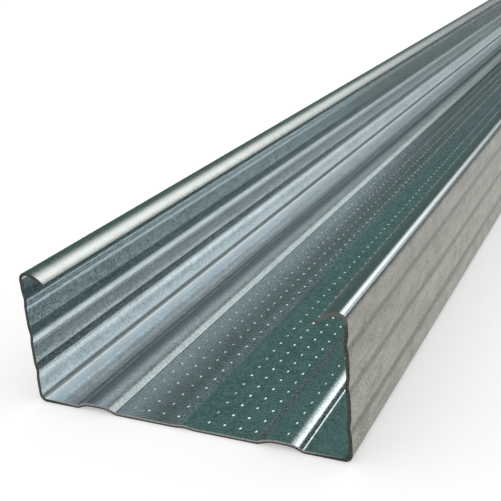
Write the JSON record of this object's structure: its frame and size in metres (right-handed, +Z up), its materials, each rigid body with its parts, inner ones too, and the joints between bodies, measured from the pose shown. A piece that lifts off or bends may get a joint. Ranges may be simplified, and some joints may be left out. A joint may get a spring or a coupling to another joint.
{
  "type": "ceiling channel",
  "caption": "Roll-formed galvanised steel C-shaped ceiling channel with a ribbed, knurled web, creased flanges and curled lips, for screwing plasterboard to and hanging from clips.",
  "frame": {"origin": "under the middle of the channel, on the plane of the web's underside", "axes": "+Z up out of the open side, +Y along the channel, +X across it"},
  "size_m": [0.06, 2.6, 0.0255],
  "materials": {
    "galvanised_steel": "hot-dip galvanised, low spangle, lightly dulled"
  },
  "bodies": {
    "root": {"ceiling_channel": "galvanised_steel"}
  },
  "joints": []
}
